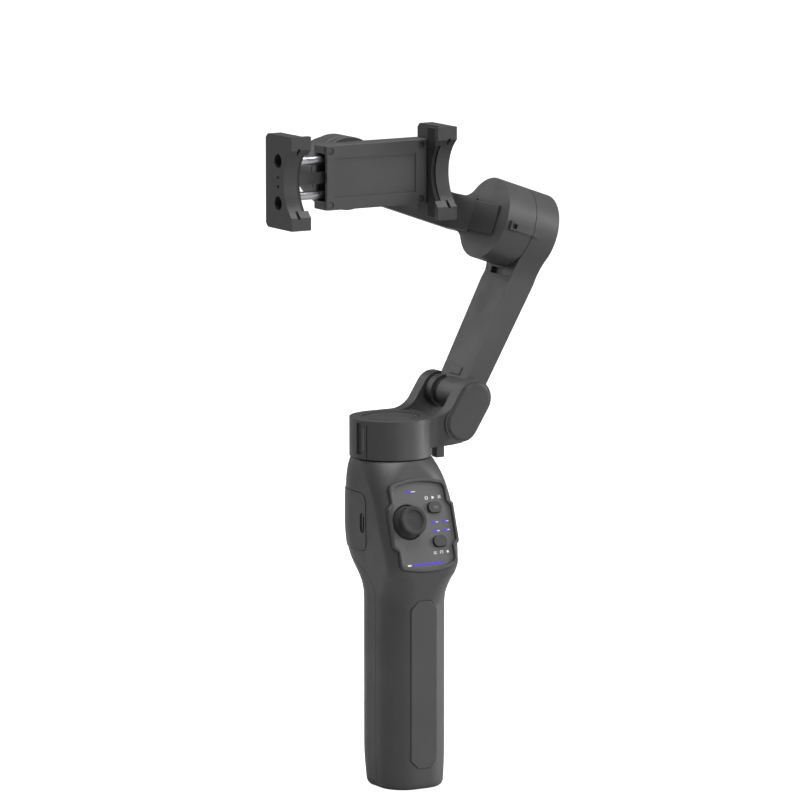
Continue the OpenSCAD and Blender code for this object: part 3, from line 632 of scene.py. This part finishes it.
def on_motor_rim(point):
    """Outer rim of the housing at the top of the arm, round its end cover."""
    local = TO_ARM @ point
    return local.x > 11.2 * MM and local.yz.length > 18.5 * MM


# node: material, width of the rounded corners in millimetres, segments, larger rounds
PLAIN = {
    "panel_bezel": (SHELL, 0.45, 3),
    "grip_pad": (SHELL, 0.35, 3),
    "control_panel": (FACEPLATE, 0.0, 1),
    "mode_key": (KEY_PLASTIC, 0.4, 3),
    "record_key": (KEY_PLASTIC, 0.4, 3),
    "joystick_base": (INNER, 0.1, 1),
    "joystick_yoke": (TURNED, 0.1, 1),
    "joystick_cap": (STICK_RUBBER, 0.25, 2),
    "status_lights": (LIGHT, 0.0, 1),
    "tripod_insert": (BRASS, 0.1, 1),
    "usb_socket": (STEEL, 0.08, 1),
    "battery": (SLEEVE, 0.5, 2),
    "battery_cradle": (INNER, 0.2, 1),
    "main_board": (MASK, 0.0, 1),
    "shell_screws": (TURNED, 0.15, 1),
    "pan_stator": (TURNED, 0.2, 1),
    "pan_bearings": (STEEL, 0.2, 1),
    "pan_shaft": (STEEL, 0.2, 1),
    "pan_rotor": (TURNED, 0.2, 1),
    "yaw_arm": (ARM_PLASTIC, 0.6, 3, ((on_housing_rim, 0.9, 3),)),
    "yaw_top_plate": (TRIM, 0.3, 2),
    "near_hinge_cap": (CAP_DISC, 0.3, 2),
    "far_hinge_cap": (CAP_DISC, 0.3, 2),
    "fold_pin": (STEEL, 0.2, 1),
    "pan_stop": (TRIM, 0.4, 2),
    "fold_arm": (ARM_PLASTIC, 0.6, 3, ((on_motor_rim, 1.5, 4),)),
    "arm_end_cover": (TRIM, 0.5, 3),
    "arm_bumper": (CAP_DISC, 0.4, 2),
    "tilt_stator": (COPPER, 0.2, 1),
    "tilt_bearing": (STEEL, 0.2, 1),
    "tilt_shaft": (STEEL, 0.2, 1),
    "tilt_bell": (ARM_PLASTIC, 0.5, 3),
    "tilt_rotor": (TURNED, 0.2, 1),
    "tilt_bracket": (ARM_PLASTIC, 0.8, 3),
    "cable_cover": (JAW_PLASTIC, 0.3, 2),
    "storage_lock": (JAW_PLASTIC, 0.3, 2),
    "roll_stator": (ARM_PLASTIC, 0.4, 3),
    "roll_motor_cap": (TRIM, 0.4, 2),
    "roll_bearings": (STEEL, 0.2, 1),
    "roll_shaft": (STEEL, 0.2, 1),
    "roll_rotor": (ARM_PLASTIC, 0.4, 3),
    "clamp_body": (ARM_PLASTIC, 0.6, 3),
    "clamp_cover": (TRIM, 0.3, 2),
    "clamp_screws": (BLACK_STEEL, 0.1, 1),
    "fixed_jaw": (JAW_PLASTIC, 0.5, 3),
    "fixed_jaw_pad": (RUBBER, 0.3, 2),
    "sliding_jaw": (JAW_PLASTIC, 0.5, 3),
    "sliding_jaw_pad": (RUBBER, 0.3, 2),
    "guide_rods": (STEEL, 0.3, 2),
    "clamp_spring": (STEEL, 0.0, 1),
}
for node, row in PLAIN.items():
    piece = finished(node, *row)
    if node == "clamp_spring":
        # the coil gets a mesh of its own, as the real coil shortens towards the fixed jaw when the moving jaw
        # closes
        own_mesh(piece)

# ---------- small details on the panel, the stick and the housing ----------


def plates(name, outlines, depth, matrix, material, body):
    """One piece made of flat prisms, outlines in millimetres in the frame of matrix."""
    bm = bmesh.new()
    for outline in outlines:
        add_prism(bm, outline, depth)
    place_detail(name, bm, matrix, material, body)


def place_detail(name, bm, matrix, material, body):
    """Makes a piece that stands for no CAD node, from bm in the frame of matrix."""
    bmesh.ops.recalc_face_normals(bm, faces=bm.faces)
    bm.transform(matrix)
    smooth_by_angle(bm, DETAIL_CREASE)
    add_piece(name, mesh_from(name, bm), material, body)


def bar(u, v, width, height):
    return [(u - width / 2, v - height / 2), (u + width / 2, v - height / 2), (u + width / 2, v + height / 2),
            (u - width / 2, v + height / 2)]


def band(u, v, outer, inner, start=100, stop=440, steps=28):
    """Open ring: nearly a whole turn of a band."""
    angles = [math.radians(start + (stop - start) * i / steps) for i in range(steps + 1)]
    return ([(u + outer * math.cos(a), v + outer * math.sin(a)) for a in angles]
            + [(u + inner * math.cos(a), v + inner * math.sin(a)) for a in reversed(angles)])


def make_prints():
    above, below = 12.4, -12.9
    icons = [
        band(4.2, above, 0.85, 0.55), [(7.0, above - 0.8), (8.5, above), (7.0, above + 0.8)],
        bar(10.6, above, 0.35, 1.5), bar(11.5, above, 0.35, 1.5),
        bar(4.3, below, 1.6, 0.3), bar(4.3, below - 0.8, 1.6, 0.3), band(7.7, below - 0.3, 0.85, 0.55, -60, 240),
        disc(11, below - 0.3, 0.6),
        bar(-10.4, -18.0, 1.8, 0.8), bar(-9.3, -18.0, 0.25, 0.4), bar(-2.4, 15.9, 2.2, 0.35),
    ]
    for v in (0.9, -3.2):
        icons += [bar(7.8, v, 1.3, 0.35), bar(13.3, v, 1.3, 0.35)]
    plates("panel_prints", icons, (-0.02, 0.04), PANEL, INK, "handle")
    mark = rounded_rectangle(-1.4, -0.75, 1.4, 0.75, 0.7)
    plates("mode_key_mark", [mark], (1.2, 1.45), MODE_KEY, FACEPLATE, body_of("mode_key"))


def make_stick_grip():
    """Fine ridges round the joystick's rim."""
    ridges, valley, crest = 44, 6.78, 7.02
    outer = []
    for i in range(ridges):
        for step, r in ((0, valley), (0.25, crest), (0.6, crest), (0.85, valley)):
            a = 2 * math.pi * (i + step) / ridges
            outer.append((r * math.cos(a), r * math.sin(a)))
    low, high, inner = 8.0, 9.25, 0.93
    bm = bmesh.new()
    rings = []
    for scale, z in ((inner, low), (1, low), (1, high), (inner, high)):
        rings.append([bm.verts.new((x * scale * MM, y * scale * MM, z * MM)) for x, y in outer])
    join_rings(bm, [*rings, rings[0]])
    place_detail("stick_ridges", bm, STICK, STICK_RUBBER, body_of("joystick_cap"))


def make_housing_slot():
    """Painted shade down the pan motor's housing, a dark plate on the cable slot's floor, and beside it a pale
    strip that is a painted highlight.
    """
    for name, degrees, depth, width, low, high, material in (
            # dark plate on the slot's floor: painted shade in the recess
            ("cable_slot_painted_shade", 189, (18.15, 18.4), 3.0, 155.1, 169.5, INNER),
            # pale strip on the housing: a painted highlight along its edge
            ("housing_painted_highlight", 198, (19.1, 19.3), 1.3, 157, 167.5, FACEPLATE)):
        facing = (Matrix.Translation((PAN.x, PAN.y, 0)) @ Matrix.Rotation(math.radians(degrees), 4, "Z")
                  @ ACROSS)
        outline = rounded_rectangle(-width / 2, low, width / 2, high, 0.3, 3)
        plates(name, [outline], depth, facing, material, "pan_arm")


make_prints()
make_stick_grip()
make_housing_slot()

# ---------- studio ----------


def area_light(name, energy, size, location, target):
    """A rectangular lamp of energy watts and size metres, turned to face target."""
    data = bpy.data.lights.new(name, "AREA")
    data.energy = energy
    data.shape = "RECTANGLE"
    data.size, data.size_y = size
    light = bpy.data.objects.new(name, data)
    scene.collection.objects.link(light)
    light.location = location
    light.rotation_mode = "QUATERNION"
    light.rotation_quaternion = (Vector(target) - Vector(location)).to_track_quat("-Z", "Y")


def make_studio():
    mesh = bpy.data.meshes.new("floor")
    half = 30
    corners = [(-half, -half, 0), (half, -half, 0), (half, half, 0), (-half, half, 0)]
    mesh.from_pydata(corners, [], [(0, 1, 2, 3)])
    floor = bpy.data.objects.new("floor", mesh)
    scene.collection.objects.link(floor)
    floor.location.z = -0.0002
    material, tree, shader = node_tree("floor_paper")
    tone = spread(tree, noise(tree, 6, 3).outputs["Fac"], 0, 1)
    base = tint(tree, tone, grey(0.5, 0), grey(0.54, 0))
    tree.links.new(base, shader.inputs["Base Color"])
    shader.inputs["Roughness"].default_value = 0.9
    # the paper runs out to pure white in the picture, and lights the part no more for it
    seen = tree.nodes.new("ShaderNodeLightPath")
    lift = tree.nodes.new("ShaderNodeMapRange")
    lift.inputs["To Min"].default_value = 0.0
    lift.inputs["To Max"].default_value = 0.95
    tree.links.new(seen.outputs["Is Camera Ray"], lift.inputs["Value"])
    tree.links.new(lift.outputs["Result"], shader.inputs["Emission Strength"])
    shader.inputs["Emission Color"].default_value = (1, 1, 1, 1)
    mesh.materials.append(material)

    world = bpy.data.worlds.new("studio")
    world.use_nodes = True
    scene.world = world
    tree = world.node_tree
    background = next(n for n in tree.nodes if n.type == "BACKGROUND")
    background.inputs["Color"].default_value = (1, 1, 1, 1)
    path = tree.nodes.new("ShaderNodeLightPath")
    level = tree.nodes.new("ShaderNodeMapRange")
    level.inputs["To Min"].default_value = 0.19
    level.inputs["To Max"].default_value = 1.0
    tree.links.new(path.outputs["Is Camera Ray"], level.inputs["Value"])
    tree.links.new(level.outputs["Result"], background.inputs["Strength"])

    middle = (0, 0, 0.16)
    area_light("key", 88, (1.2, 1.8), (2.6, -1.0, 0.4), middle)
    area_light("top", 46, (1.6, 1.6), (0.1, -0.2, 1.9), middle)
    area_light("front_fill", 9, (1.2, 1.2), (0.2, -2.0, 0.5), middle)
    area_light("back_rim", 7, (1.2, 1.4), (-0.6, 1.7, 0.9), middle)


def make_camera():
    """Long lens from the front left, a little above: azimuth 31 degrees, elevation 9."""
    azimuth, elevation = math.radians(31), math.radians(9)
    distance, field = 3.0, 0.3721
    aim = Vector((12.74, 24.81, 175.67)) * MM
    towards = Vector((-math.sin(azimuth) * math.cos(elevation), -math.cos(azimuth) * math.cos(elevation),
                      math.sin(elevation)))
    data = bpy.data.cameras.new("camera")
    data.sensor_width = 36
    data.lens = data.sensor_width * distance / field
    data.clip_end = 100
    camera = bpy.data.objects.new("camera", data)
    scene.collection.objects.link(camera)
    camera.location = aim + towards * distance
    camera.rotation_mode = "QUATERNION"
    camera.rotation_quaternion = (-towards).to_track_quat("-Z", "Y")
    scene.camera = camera


make_studio()
make_camera()
scene.view_settings.view_transform = "Standard"
